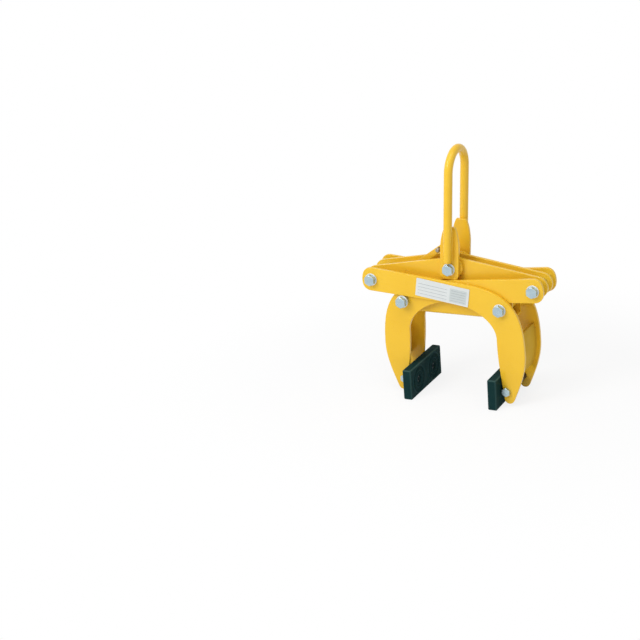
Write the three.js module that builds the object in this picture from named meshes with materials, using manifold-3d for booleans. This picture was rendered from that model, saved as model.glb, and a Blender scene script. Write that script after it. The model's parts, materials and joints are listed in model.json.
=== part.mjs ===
// Kerb lifting clamp, open and standing on its two rubber pads.
// Two hooked jaws turn on a square spreader beam. Each jaw's long arm crosses to the other side,
// where a link joins it to the top pivot: pulling the bail up lifts both arm ends and closes the claws.
// Millimetres, +X to the right claw, -Y to the front (bolt heads and label), +Z up.
// The origin is on the ground, midway between the pads.
import * as THREE from "three";
import { mergeVertices } from "three/addons/utils/BufferGeometryUtils.js";
import Module from "manifold-3d";

const wasm = await Module();
wasm.setup();

// Pivot layout, clamp open
const shoulderSpan = 244; // between the two shoulder pivots
const armPinSpan = 400; // between the pins at the arm ends
const armPinRise = 49; // arm pins above the shoulder pivots
const topPinRise = 83; // top pivot above the shoulder pivots
const topPinOffset = 6; // top pivot to the left of the clamp's middle
const padPinOffset = 9.5; // pins that carry the pads, outboard of the shoulder pivots
const padPinDrop = 200; // pad pins below the shoulder pivots
const padReach = 35; // from a pad pin in to the gripping face

// Plates, from the middle outwards on each side
const plateThickness = 8;
const latchBay = 24; // clear width between the inner pair of links
const linkGap = 1; // inner links to outer links
const cheekGap = 1.5; // outer links to bail cheeks
const innerJawGap = 1; // bail cheeks to the inner jaw's plates
const outerJawGap = 1.5; // inner jaw's plates to the outer jaw's plates
const seatGap = 0.3; // between pieces that seat on each other
const overrun = 2; // how far every cutting solid runs past the face that it cuts

// Jaw outline, measured from the shoulder pivot
const armEndRadius = 28.5; // half the width of the arm at its pin
const armEndReach = 24; // from the pin to the blunt end
const crownSetback = 85; // where the top edge starts to turn down, inboard of the pivot
const crownHeight = 54.5;
const clawBulge = 57; // widest point of the claw, outboard of the pivot
const clawBulgeDrop = 110;
const throatSetback = 112; // where the lower edge of the arm starts to turn down
const throatHeight = 5.6;
const clawInset = 10; // straight inner edge of the claw, inboard of the pivot
const clawInsetDrop = 73;
const tipOffset = 16; // centre of the rounded tip, outboard of the pivot
const tipDrop = 218;
const tipRadius = 12;
const tipOuterAngle = -22; // degrees, where the outer edge meets the tip
const tipInnerAngle = 187;
const armEndShare = 0.66;
const crownShare = 0.72; // handle lengths of the curves, as shares of their spans
const flankShare = 0.36;
const innerEdgeShare = 0.34;
const throatAlongShare = 0.51;
const throatDownShare = 0.5;

// Web between the two plates of a claw
const webInset = 11; // from the outer edge
const webThickness = 8;
const webTopDrop = 58; // below the shoulder pivot
const webBottomDrop = 172;

// Spreader beam
const beamSide = 60;
const beamWall = 5;
const beamDrop = 3; // its centre below the shoulder pivots
const beamOverhang = 20; // past each shoulder pivot
const bushRadius = 15;

// Links
const linkEndRadius = 25;
const linkOverreach = 4; // centre of the round end past the top pivot

// Bail
const bailBarRadius = 10;
const bailHeight = 287.5; // top pivot to the top of the bar
const bailLean = 3.6; // degrees towards the right claw, as it hangs in the photograph
const bailLegFoot = 17.5; // lower end of the bar above the top pivot
const cheekWidth = 46;
const cheekFoot = 25; // lower edge below the top pivot
const cheekTop = 102; // upper edge above the top pivot
const cheekTaperStart = 53;
const cheekTopWidth = 24;
const cheekNeckShare = 0.818; // where the tapering sides bend, across and up
const cheekNeckRiseShare = 0.633;
const cheekCornerRadius = 13;

// Fasteners: M16 bolts at the pivots, M12 at the pads
const bolt16 = { radius: 8, flats: 24, headHeight: 10, nutHeight: 14, tail: 4 };
const bolt12 = { radius: 6, flats: 19, headHeight: 7.5, nutHeight: 11, tail: 3 };
const hexEndShare = 0.95; // flat circle on a hexagon's end, as a share of its width
const hexSlopeShare = 0.55; // rise of the turned-off corners over their run
const washerRadius = 15;
const washerThickness = 3;
const boreClearance = 0.3; // radial, bolt in its hole
const spacerRadius = 14;
const collarRadius = 13; // on the left shoulder bolt, where the outer jaw has no plate
const sleeveRadius = 12; // sleeve that the links turn on at the top pivot
const openPivotClearance = 0.8; // radial, right links on the sleeve

// Hold-open latch, between the links
const latchThickness = 10;
const latchPivotRun = 112; // from the top pivot towards the left arm pin, along X
const latchPinRadius = 5;
const latchEndRadius = 9.5;
const latchBarWidth = 14;
const latchSlope = 35; // degrees
const latchBend = 64; // run of the sloping bar along X
const latchNoseLength = 9;
const latchNoseWidth = 5.8;
const latchNoseOffset = 3.6; // left face of the nose, left of the top pivot, latch lifted
const latchNoseClear = 2.5; // nose above the catch stud, latch lifted
const latchHeadHeight = 13;
const gripRadius = 5;
const gripLength = 36;
const gripRun = 75; // thumb pin from the latch pivot along X
const gripRise = 55.6;
const studRadius = 4;
const studReach = 19.5; // from the top pivot
const studAngle = 106; // degrees from +X
const latchHubRadius = 9; // its hub fills the space between the links

// Pads
const padLength = 180;
const padHeight = 75;
const padThickness = 22;
const padCornerRadius = 3;
const carrierThickness = 6;
const carrierLength = 150;
const carrierHeight = 56;
const earThickness = 8;
const earPitch = 56; // between the two ears' middle planes
const earHeight = 34; // where an ear meets the back plate
const pivotTubeRadius = 11;
const discPitch = 88; // between the two ringed discs on a pad
const outerRingRadius = 30;
const innerRingRadius = 18;
const ringWidth = 3;
const ringDepth = 1.5;
const screwRadius = 5;
const screwHeadRadius = 9;
const screwHeadHeight = 4;
const screwHeadDepth = 5; // outer face of the screw head below the gripping face

// Label plate on the front arm
const labelLength = 133;
const labelHeight = 44;
const labelThickness = 1;
const labelOffset = 18; // its middle, left of the clamp's middle
const labelRise = 31.75;
const labelTilt = 8.3; // degrees down to the right

// Worked out from the sizes above
const shoulderX = shoulderSpan / 2;
const armPinX = armPinSpan / 2;
const padPinX = shoulderX + padPinOffset;
const innerLinkY = latchBay / 2;
const outerLinkY = innerLinkY + plateThickness + linkGap;
const cheekY = outerLinkY + plateThickness + cheekGap;
const innerJawY = cheekY + plateThickness + innerJawGap;
const outerJawY = innerJawY + plateThickness + outerJawGap;
const shoulderHeight = padPinDrop + padHeight / 2;
const bailLegY = cheekY + plateThickness + bailBarRadius;
const padFaceX = padPinX - padReach;
const padBackX = padFaceX + padThickness;
const topX = -topPinOffset;
const topZ = shoulderHeight + topPinRise;
const leftLinkSlope = Math.atan2(topPinRise - armPinRise, armPinX + topX);
const rightLinkSlope = Math.atan2(topPinRise - armPinRise, armPinX - topX);

const fineSegments = 24;
const pinSegments = 16;
const curveSteps = 10;

const yellowPaint = new THREE.MeshStandardMaterial({ color: 0xf5bf2b, roughness: 0.35, metalness: 0.05 });
const zincSteel = new THREE.MeshStandardMaterial({ color: 0xb9c4cc, roughness: 0.35, metalness: 0.9 });
const darkRubber = new THREE.MeshStandardMaterial({ color: 0x14302f, roughness: 0.75, metalness: 0 });
const whiteLabel = new THREE.MeshStandardMaterial({ color: 0xf2f4f3, roughness: 0.4, metalness: 0 });

const degrees = (angle) => (angle * Math.PI) / 180;
const point = (x, z) => new THREE.Vector2(x, z);

// A closed geometry as a manifold solid, and back as a named mesh
function solid(geometry) {
  const bare = geometry.clone();
  bare.deleteAttribute("normal");
  bare.deleteAttribute("uv");
  const merged = mergeVertices(bare, 1e-4);
  return new wasm.Manifold(
    new wasm.Mesh({
      numProp: 3,
      vertProperties: new Float32Array(merged.attributes.position.array),
      triVerts: new Uint32Array(merged.index.array),
    }),
  );
}

function mesh(name, body, material) {
  const data = body.getMesh();
  const geometry = new THREE.BufferGeometry();
  geometry.setAttribute("position", new THREE.BufferAttribute(new Float32Array(data.vertProperties), 3));
  geometry.setIndex(new THREE.BufferAttribute(new Uint32Array(data.triVerts), 1));
  geometry.computeVertexNormals();
  const made = new THREE.Mesh(geometry, material);
  made.name = name;
  return made;
}

// A flat outline in X and Z, standing between two values of Y
function slab(outline, nearY, farY) {
  const depth = farY - nearY;
  const geometry = new THREE.ExtrudeGeometry(outline, { depth, bevelEnabled: false });
  geometry.rotateX(Math.PI / 2).translate(0, farY, 0);
  return solid(geometry);
}

function rod(radius, x, z, nearY, farY, segments = pinSegments) {
  const geometry = new THREE.CylinderGeometry(radius, radius, farY - nearY, segments);
  geometry.translate(x, (nearY + farY) / 2, z);
  return solid(geometry);
}

function tube(outerRadius, innerRadius, x, z, nearY, farY) {
  return rod(outerRadius, x, z, nearY, farY).subtract(rod(innerRadius, x, z, nearY - overrun, farY + overrun));
}

function box(x0, x1, y0, y1, z0, z1) {
  const geometry = new THREE.BoxGeometry(x1 - x0, y1 - y0, z1 - z0);
  geometry.translate((x0 + x1) / 2, (y0 + y1) / 2, (z0 + z1) / 2);
  return solid(geometry);
}

// A hexagon along Y whose outer end has its corners turned off by a cone
function hexagon(size, height, x, z, seatY, outward) {
  const cornerRadius = size.flats / Math.sqrt(3);
  const endRadius = (size.flats / 2) * hexEndShare;
  const wide = cornerRadius + overrun;
  const coneFoot = height / 2 - (wide - endRadius) * hexSlopeShare;
  const prism = new THREE.CylinderGeometry(cornerRadius, cornerRadius, height, 6);
  const profile = [point(0, -height), point(wide, -height), point(wide, coneFoot)];
  profile.push(point(endRadius, height / 2), point(0, height / 2));
  const turned = new THREE.LatheGeometry(profile, pinSegments);
  turned.rotateY(Math.PI / pinSegments);
  const shaped = solid(prism).intersect(solid(turned));
  const middle = seatY + (outward * height) / 2;
  return shaped.rotate([outward > 0 ? 0 : 180, 0, 0]).translate([x, middle, z]);
}

// A bolt with its head to the front and its nut behind, through a stack of half width stackY.
// A pivot bolt has a washer under its head and a flanged nut.
function fastener(names, size, x, z, stackY, isPivot, group) {
  const headSeatY = stackY + (isPivot ? washerThickness + 2 * seatGap : seatGap);
  const nutSeatY = stackY + seatGap;
  const hexSeatY = nutSeatY + (isPivot ? washerThickness : 0);
  const tailY = hexSeatY + size.nutHeight + size.tail;
  const shank = rod(size.radius, x, z, -headSeatY - seatGap, tailY);
  group.add(mesh(names.bolt, hexagon(size, size.headHeight, x, z, -headSeatY, -1).add(shank), zincSteel));
  const hexFootY = (nutSeatY + hexSeatY) / 2;
  let nut = hexagon(size, hexSeatY + size.nutHeight - hexFootY, x, z, hexFootY, 1);
  if (isPivot) nut = nut.add(rod(washerRadius, x, z, nutSeatY, hexSeatY));
  const threadHole = rod(size.radius + seatGap / 2, x, z, stackY, tailY + overrun);
  group.add(mesh(names.nut, nut.subtract(threadHole), zincSteel));
  if (!isPivot) return;
  const washerFace = -stackY - seatGap;
  const washer = tube(washerRadius, size.radius + seatGap, x, z, washerFace - washerThickness, washerFace);
  group.add(mesh(names.washer, washer, zincSteel));
}

function borePlate(body, holes) {
  let cut = body;
  for (const hole of holes) {
    const far = outerJawY + 2 * plateThickness;
    cut = cut.subtract(rod(hole.radius, hole.x, hole.z, -far, far));
  }
  return cut;
}

// Where a straight edge from a point touches a circle
function tangentPoint(centre, radius, from, side) {
  const reach = from.clone().sub(centre);
  const angle = reach.angle() + side * Math.acos(radius / reach.length());
  return point(centre.x + radius * Math.cos(angle), centre.y + radius * Math.sin(angle));
}

function arcPoints(centre, radius, startAngle, endAngle, steps) {
  const curve = new THREE.EllipseCurve(centre.x, centre.y, radius, radius, startAngle, endAngle, endAngle < startAngle);
  return curve.getPoints(steps);
}

function curvePoints(start, startHandle, endHandle, end) {
  return new THREE.CubicBezierCurve(start, startHandle, endHandle, end).getPoints(curveSteps);
}

// Key points of the right claw's outline, heights from the shoulder pivots
const armPin = point(-armPinX, armPinRise);
const crownStart = point(shoulderX - crownSetback, crownHeight);
const clawWide = point(shoulderX + clawBulge, -clawBulgeDrop);
const tipCentre = point(shoulderX + tipOffset, -tipDrop);
const clawStraight = point(shoulderX - clawInset, -clawInsetDrop);
const throatStart = point(shoulderX - throatSetback, throatHeight);
const armTop = tangentPoint(armPin, armEndRadius, crownStart, 1);
const armBottom = tangentPoint(armPin, armEndRadius, throatStart, -1);
const topDirection = crownStart.clone().sub(armTop).normalize();
const bottomDirection = throatStart.clone().sub(armBottom).normalize();

// The outer edge from the crown down to the tip
function outerEdge() {
  const crownRun = clawWide.x - crownStart.x;
  const crownFall = crownStart.y - clawWide.y;
  const tipAngle = degrees(tipOuterAngle);
  const tipStart = point(Math.cos(tipAngle), Math.sin(tipAngle)).multiplyScalar(tipRadius).add(tipCentre);
  const flankFall = clawWide.y - tipStart.y;
  const intoTip = point(Math.sin(tipAngle), -Math.cos(tipAngle));
  const crown = curvePoints(
    crownStart,
    topDirection.clone().multiplyScalar(crownRun * crownShare).add(crownStart),
    point(clawWide.x, clawWide.y + crownFall * crownShare),
    clawWide,
  );
  const flank = curvePoints(
    clawWide,
    point(clawWide.x, clawWide.y - flankFall * flankShare),
    intoTip.clone().multiplyScalar(-flankFall * flankShare).add(tipStart),
    tipStart,
  );
  return [...crown, ...flank.slice(1)];
}

// The inner edge from the tip up into the throat
function innerEdge() {
  const tipAngle = degrees(tipInnerAngle);
  const tipEnd = point(Math.cos(tipAngle), Math.sin(tipAngle)).multiplyScalar(tipRadius).add(tipCentre);
  const rise = clawStraight.y - tipEnd.y;
  const outOfTip = point(Math.sin(tipAngle), -Math.cos(tipAngle));
  const straight = curvePoints(
    tipEnd,
    outOfTip.clone().multiplyScalar(rise * innerEdgeShare).add(tipEnd),
    point(clawStraight.x, clawStraight.y - rise * innerEdgeShare),
    clawStraight,
  );
  const throatRun = clawStraight.x - throatStart.x;
  const throatFall = throatStart.y - clawStraight.y;
  const throat = curvePoints(
    clawStraight,
    point(clawStraight.x, clawStraight.y + throatFall * throatDownShare),
    bottomDirection.clone().multiplyScalar(throatRun * throatAlongShare).add(throatStart),
    throatStart,
  );
  return [...straight, ...throat.slice(1)];
}

// The blunt end of the arm, from its lower edge round to its upper edge
function armEnd() {
  const axis = topDirection.clone().add(bottomDirection).normalize();
  const up = point(-axis.y, axis.x).multiplyScalar(armEndRadius * armEndShare);
  const middle = axis.clone().multiplyScalar(-armEndReach).add(armPin);
  const run = armEndReach * armEndShare;
  const lower = curvePoints(
    armBottom,
    bottomDirection.clone().multiplyScalar(-run).add(armBottom),
    middle.clone().sub(up),
    middle,
  );
  const upper = curvePoints(
    middle,
    middle.clone().add(up),
    topDirection.clone().multiplyScalar(-run).add(armTop),
    armTop,
  );
  return [...lower, ...upper.slice(1)];
}

function placed(points, side) {
  return new THREE.Shape(points.map((p) => point(side * p.x, p.y + shoulderHeight)));
}

// One jaw plate: side 1 has its claw on the right, side -1 on the left
function jawPlate(side, nearY, farY) {
  const tip = arcPoints(
    tipCentre,
    tipRadius,
    degrees(tipOuterAngle),
    degrees(tipInnerAngle - 360),
    curveSteps,
  ).slice(1, -1);
  const outline = placed([...outerEdge(), ...tip, ...innerEdge(), ...armEnd()], side);
  return borePlate(slab(outline, nearY, farY), [
    { radius: bolt16.radius + boreClearance, x: -side * armPinX, z: shoulderHeight + armPinRise },
    { radius: bolt16.radius + boreClearance, x: side * shoulderX, z: shoulderHeight },
    { radius: bolt12.radius + boreClearance, x: side * padPinX, z: shoulderHeight - padPinDrop },
  ]);
}

// The web follows the outer edge of the claw between its two plates
function clawWeb(side, halfY) {
  const edge = outerEdge().filter((p) => p.y < -webTopDrop && p.y > -webBottomDrop);
  const inward = edge.map((p, i) => {
    const along = edge[Math.min(i + 1, edge.length - 1)].clone().sub(edge[Math.max(i - 1, 0)]).normalize();
    return point(along.y, -along.x);
  });
  const offset = (distance) => edge.map((p, i) => inward[i].clone().multiplyScalar(distance).add(p));
  const strip = [...offset(webInset), ...offset(webInset + webThickness).reverse()];
  return slab(placed(strip, side), -halfY, halfY);
}

// A link runs from an arm pin to the top pivot
function linkPlate(side, nearY, farY, topHoleRadius, extraHoles) {
  const outline = new THREE.Shape();
  const upright = Math.PI / 2;
  const outer = point(side * armPinX, shoulderHeight + armPinRise);
  const middle = point(topX, topZ);
  const lean = side < 0 ? leftLinkSlope : -rightLinkSlope;
  const past = point(Math.cos(lean), Math.sin(lean)).multiplyScalar(-side * linkOverreach);
  const inner = middle.clone().add(past);
  const leftEnd = side < 0 ? outer : inner;
  const rightEnd = side < 0 ? inner : outer;
  outline.absarc(rightEnd.x, rightEnd.y, linkEndRadius, lean - upright, lean + upright, false);
  outline.absarc(leftEnd.x, leftEnd.y, linkEndRadius, lean + upright, lean + 3 * upright, false);
  const body = slab(new THREE.Shape(outline.extractPoints(curveSteps).shape), nearY, farY);
  return borePlate(body, [
    { radius: bolt16.radius + boreClearance, x: outer.x, z: outer.y },
    { radius: topHoleRadius, x: middle.x, z: middle.y },
    ...extraHoles,
  ]);
}

const clamp = new THREE.Group();
clamp.name = "kerb_lifting_clamp";

// Spreader beam with its two shoulder bushes, bolts and stop rings
function spreader() {
  const group = new THREE.Group();
  const halfLength = shoulderX + beamOverhang;
  const halfSide = beamSide / 2;
  const bore = halfSide - beamWall;
  const beamZ = shoulderHeight - beamDrop;
  const outside = box(-halfLength, halfLength, -halfSide, halfSide, beamZ - halfSide, beamZ + halfSide);
  const far = halfLength + overrun;
  let beam = outside.subtract(box(-far, far, -bore, bore, beamZ - bore, beamZ + bore));
  for (const side of [-1, 1]) {
    beam = beam.subtract(rod(bushRadius + seatGap, side * shoulderX, shoulderHeight, -beamSide, beamSide));
  }
  group.add(mesh("spreader_beam", beam, yellowPaint));
  const bushEnd = innerJawY - seatGap;
  for (const [side, label] of [[-1, "left"], [1, "right"]]) {
    const x = side * shoulderX;
    const bush = tube(bushRadius, bolt16.radius + boreClearance, x, shoulderHeight, -bushEnd, bushEnd);
    group.add(mesh("shoulder_bush_" + label, bush, yellowPaint));
    const names = {
      bolt: "shoulder_bolt_" + label,
      nut: "shoulder_nut_" + label,
      washer: "shoulder_washer_" + label,
    };
    fastener(names, bolt16, x, shoulderHeight, outerJawY + plateThickness, true, group);
  }
  const collarY = innerJawY + plateThickness + seatGap;
  const headY = outerJawY + plateThickness;
  for (const [label, nearY, farY] of [["front", -headY, -collarY], ["rear", collarY, headY]]) {
    const collar = tube(collarRadius, bolt16.radius + boreClearance, -shoulderX, shoulderHeight, nearY, farY);
    group.add(mesh("shoulder_collar_" + label, collar, zincSteel));
  }
  return group;
}

// The arm of the inner jaw comes to rest on these rings when the clamp is fully open
function stopRings() {
  const group = new THREE.Group();
  const toEdge = point(-shoulderX, 0).sub(armBottom);
  const edgeDistance = Math.abs(toEdge.x * bottomDirection.y - toEdge.y * bottomDirection.x);
  const ringRadius = edgeDistance - seatGap;
  for (const [side, label] of [[-1, "front"], [1, "rear"]]) {
    const nearY = innerJawY;
    const farY = outerJawY - seatGap;
    const ends = side < 0 ? [-farY, -nearY] : [nearY, farY];
    const bore = bolt16.radius + boreClearance;
    group.add(mesh("stop_ring_" + label, tube(ringRadius, bore, shoulderX, shoulderHeight, ...ends), zincSteel));
  }
  return group;
}

// A jaw with its two plates, web, arm pin and pad pin
function jaw(side, name, plateY, linkOuterY, linkInnerY) {
  const group = new THREE.Group();
  const outerY = plateY + plateThickness;
  group.add(mesh(name + "_front_plate", jawPlate(side, -outerY, -plateY), yellowPaint));
  group.add(mesh(name + "_rear_plate", jawPlate(side, plateY, outerY), yellowPaint));
  group.add(mesh(name + "_web", clawWeb(side, plateY - seatGap), yellowPaint));
  const pinX = -side * armPinX;
  const pinZ = shoulderHeight + armPinRise;
  const pinNames = { bolt: name + "_arm_bolt", nut: name + "_arm_nut", washer: name + "_arm_washer" };
  fastener(pinNames, bolt16, pinX, pinZ, outerY, true, group);
  const bore = bolt16.radius + boreClearance;
  const spacers = [
    ["front", -plateY + seatGap, -linkOuterY - seatGap],
    ["middle", -linkInnerY + seatGap, linkInnerY - seatGap],
    ["rear", linkOuterY + seatGap, plateY - seatGap],
  ];
  for (const [label, nearY, farY] of spacers) {
    const spacer = tube(spacerRadius, bore, pinX, pinZ, nearY, farY);
    group.add(mesh(name + "_spacer_" + label, spacer, zincSteel));
  }
  const padNames = { bolt: name + "_pad_bolt", nut: name + "_pad_nut" };
  fastener(padNames, bolt12, side * padPinX, shoulderHeight - padPinDrop, outerY, false, group);
  return group;
}

// The label plate lies along the outer jaw's front arm, bare of any lettering
function labelPlate() {
  const geometry = new THREE.BoxGeometry(labelLength, labelThickness, labelHeight);
  geometry.rotateY(degrees(labelTilt));
  const faceY = outerJawY + plateThickness + seatGap + labelThickness / 2;
  geometry.translate(-labelOffset, -faceY, shoulderHeight + labelRise);
  return mesh("label_plate", solid(geometry), whiteLabel);
}

const latchPivot = point(topX - latchPivotRun, topZ - latchPivotRun * Math.tan(leftLinkSlope));
const studTurn = degrees(studAngle);
const stud = point(topX + studReach * Math.cos(studTurn), topZ + studReach * Math.sin(studTurn));

// Outer pair of links from the left arm pin, carrying the latch on its pin
function leftLinks() {
  const group = new THREE.Group();
  const farY = outerLinkY + plateThickness;
  const topHole = sleeveRadius + boreClearance;
  const latchHole = { radius: latchPinRadius + boreClearance, x: latchPivot.x, z: latchPivot.y };
  group.add(mesh("left_link_front", linkPlate(-1, -farY, -outerLinkY, topHole, [latchHole]), yellowPaint));
  group.add(mesh("left_link_rear", linkPlate(-1, outerLinkY, farY, topHole, [latchHole]), yellowPaint));
  const pin = rod(latchPinRadius, latchPivot.x, latchPivot.y, -farY, farY);
  group.add(mesh("latch_pin", pin, zincSteel));
  return group;
}

// Inner pair of links from the right arm pin, joined by the stud that the latch catches
function rightLinks() {
  const group = new THREE.Group();
  const farY = innerLinkY + plateThickness;
  const topHole = sleeveRadius + openPivotClearance;
  const studHole = { radius: studRadius + boreClearance, x: stud.x, z: stud.y };
  group.add(mesh("right_link_front", linkPlate(1, -farY, -innerLinkY, topHole, [studHole]), yellowPaint));
  group.add(mesh("right_link_rear", linkPlate(1, innerLinkY, farY, topHole, [studHole]), yellowPaint));
  group.add(mesh("catch_stud", rod(studRadius, stud.x, stud.y, -farY, farY), zincSteel));
  return group;
}

// The latch, lifted just clear of the stud: a sloping bar with a nose that points down
function latch() {
  const group = new THREE.Group();
  const slope = degrees(latchSlope);
  const along = point(Math.cos(slope), Math.sin(slope));
  const up = point(-Math.sin(slope), Math.cos(slope));
  const noseLeft = topX - latchNoseOffset;
  const noseRight = noseLeft + latchNoseWidth;
  const noseFoot = topZ + studReach + studRadius + latchNoseClear;
  const throatZ = noseFoot + latchNoseLength;
  const headZ = throatZ + latchHeadHeight;
  const barEnd = point(latchPivot.x + latchBend, latchPivot.y + latchBend * Math.tan(slope));
  const upper = up.clone().multiplyScalar(latchEndRadius);
  const lower = up.clone().multiplyScalar(latchEndRadius - latchBarWidth);
  const heel = arcPoints(latchPivot, latchEndRadius, slope + Math.PI / 2, slope + 1.5 * Math.PI, curveSteps);
  const upperEnd = barEnd.clone().add(upper);
  const lowerRise = (throatZ - (latchPivot.y + lower.y)) / along.y;
  const lowerEnd = latchPivot.clone().add(lower).addScaledVector(along, lowerRise);
  const upperCorner = upperEnd.clone().addScaledVector(along, (headZ - upperEnd.y) / along.y);
  const outline = new THREE.Shape([
    ...heel,
    lowerEnd,
    point(noseLeft, throatZ),
    point(noseLeft, noseFoot),
    point(noseRight, noseFoot),
    point(noseRight, headZ - latchNoseWidth),
    point(noseRight - latchNoseWidth, headZ),
    upperCorner,
  ]);
  const gripPlace = { x: latchPivot.x + gripRun, z: latchPivot.y + gripRise };
  const halfY = latchThickness / 2;
  const hubEnd = outerLinkY - seatGap;
  const hub = rod(latchHubRadius, latchPivot.x, latchPivot.y, -hubEnd, hubEnd);
  const hook = borePlate(slab(outline, -halfY, halfY).add(hub), [
    { radius: latchPinRadius + boreClearance, x: latchPivot.x, z: latchPivot.y },
    { radius: gripRadius + boreClearance, ...gripPlace },
  ]);
  group.add(mesh("latch_hook", hook, yellowPaint));
  const grip = rod(gripRadius, gripPlace.x, gripPlace.z, -gripLength / 2, gripLength / 2);
  group.add(mesh("latch_grip", grip, zincSteel));
  return group;
}

// Top pivot: a sleeve for the links, held between the bail cheeks by a bolt
function topPivot() {
  const group = new THREE.Group();
  const sleeveEnd = cheekY - seatGap;
  const sleeve = tube(sleeveRadius, bolt16.radius + boreClearance, topX, topZ, -sleeveEnd, sleeveEnd);
  group.add(mesh("top_sleeve", sleeve, zincSteel));
  const names = { bolt: "top_bolt", nut: "top_nut", washer: "top_washer" };
  fastener(names, bolt16, topX, topZ, cheekY + plateThickness, true, group);
  return group;
}

// The bail's round bar as one path: up the front leg, over the top and down the rear leg
class BailPath extends THREE.Curve {
  getPoint(share) {
    const straight = bailHeight - bailBarRadius - bailLegY - bailLegFoot;
    const bend = Math.PI * bailLegY;
    const travelled = share * (2 * straight + bend);
    if (travelled < straight) return new THREE.Vector3(0, -bailLegY, bailLegFoot + travelled);
    if (travelled > straight + bend) {
      return new THREE.Vector3(0, bailLegY, bailLegFoot + 2 * straight + bend - travelled);
    }
    const angle = (travelled - straight) / bailLegY;
    const springing = bailLegFoot + straight;
    return new THREE.Vector3(0, -bailLegY * Math.cos(angle), springing + bailLegY * Math.sin(angle));
  }
}

function cheekOutline() {
  const half = cheekWidth / 2;
  const halfTop = cheekTopWidth / 2;
  const neck = halfTop + (half - halfTop) * cheekNeckShare;
  const neckRise = cheekTaperStart + (cheekTop - cheekTaperStart) * cheekNeckRiseShare;
  const outline = new THREE.Shape();
  outline.moveTo(-half + cheekCornerRadius, -cheekFoot);
  outline.lineTo(half - cheekCornerRadius, -cheekFoot);
  outline.quadraticCurveTo(half, -cheekFoot, half, -cheekFoot + cheekCornerRadius);
  outline.lineTo(half, cheekTaperStart);
  outline.quadraticCurveTo(neck, neckRise, halfTop, cheekTop);
  outline.lineTo(-halfTop, cheekTop);
  outline.quadraticCurveTo(-neck, neckRise, -half, cheekTaperStart);
  outline.lineTo(-half, -cheekFoot + cheekCornerRadius);
  outline.quadraticCurveTo(-half, -cheekFoot, -half + cheekCornerRadius, -cheekFoot);
  return new THREE.Shape(outline.extractPoints(curveSteps).shape);
}

// Bail: bar welded to the outer faces of its two cheeks, drawn upright about the top pivot
function bail() {
  const group = new THREE.Group();
  group.position.set(topX, 0, topZ);
  group.rotation.y = degrees(bailLean);
  const section = new THREE.Shape();
  section.absarc(0, 0, bailBarRadius, 0, 2 * Math.PI);
  const barSides = 6;
  const barSteps = 40;
  const bar = new THREE.ExtrudeGeometry(new THREE.Shape(section.getPoints(barSides).slice(0, -1)), {
    steps: barSteps,
    extrudePath: new BailPath(),
  });
  const farY = cheekY + plateThickness;
  const weldGap = cheekY + plateThickness + seatGap;
  const trimmed = solid(bar)
    .subtract(box(-cheekWidth, cheekWidth, -weldGap, weldGap, 0, cheekTop + seatGap));
  group.add(mesh("bail_bar", trimmed, yellowPaint));
  const bore = { radius: bolt16.radius + boreClearance, x: 0, z: 0 };
  group.add(mesh("bail_cheek_front", borePlate(slab(cheekOutline(), -farY, -cheekY), [bore]), yellowPaint));
  group.add(mesh("bail_cheek_rear", borePlate(slab(cheekOutline(), cheekY, farY), [bore]), yellowPaint));
  return group;
}

// A disc-shaped cutter or screw along X, for the pads
function discX(radius, x0, x1, y, z) {
  const geometry = new THREE.CylinderGeometry(radius, radius, x1 - x0, fineSegments);
  geometry.rotateZ(Math.PI / 2).translate((x0 + x1) / 2, y, z);
  return solid(geometry);
}

function ringX(radius, x0, x1, y, z) {
  return discX(radius, x0, x1, y, z).subtract(discX(radius - ringWidth, x0 - overrun, x1 + overrun, y, z));
}

// Rubber block with two ringed discs on its face and a pocket for the carrier in its back
function rubberPad(padZ) {
  const half = padHeight / 2;
  const outline = new THREE.Shape();
  const r = padCornerRadius;
  outline.absarc(padBackX - r, padZ + half - r, r, 0, Math.PI / 2);
  outline.absarc(padFaceX + r, padZ + half - r, r, Math.PI / 2, Math.PI);
  outline.lineTo(padFaceX, padZ - half);
  outline.lineTo(padBackX, padZ - half);
  const section = new THREE.Shape(outline.extractPoints(2).shape);
  let pad = slab(section, -padLength / 2, padLength / 2);
  const pocketX = padBackX - carrierThickness - seatGap;
  const pocketY = carrierLength / 2 + seatGap;
  const pocketZ = carrierHeight / 2 + seatGap;
  const backX = padBackX + overrun;
  pad = pad.subtract(box(pocketX, backX, -pocketY, pocketY, padZ - pocketZ, padZ + pocketZ));
  for (const y of [-discPitch / 2, discPitch / 2]) {
    pad = pad.subtract(ringX(outerRingRadius, padFaceX - overrun, padFaceX + ringDepth, y, padZ));
    pad = pad.subtract(ringX(innerRingRadius, padFaceX - overrun, padFaceX + ringDepth, y, padZ));
    const sinkEnd = padFaceX + screwHeadDepth + screwHeadHeight + seatGap;
    pad = pad.subtract(discX(screwHeadRadius + seatGap, padFaceX - overrun, sinkEnd, y, padZ));
    pad = pad.subtract(discX(screwRadius + seatGap, padFaceX, backX, y, padZ));
  }
  return pad;
}

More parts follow.
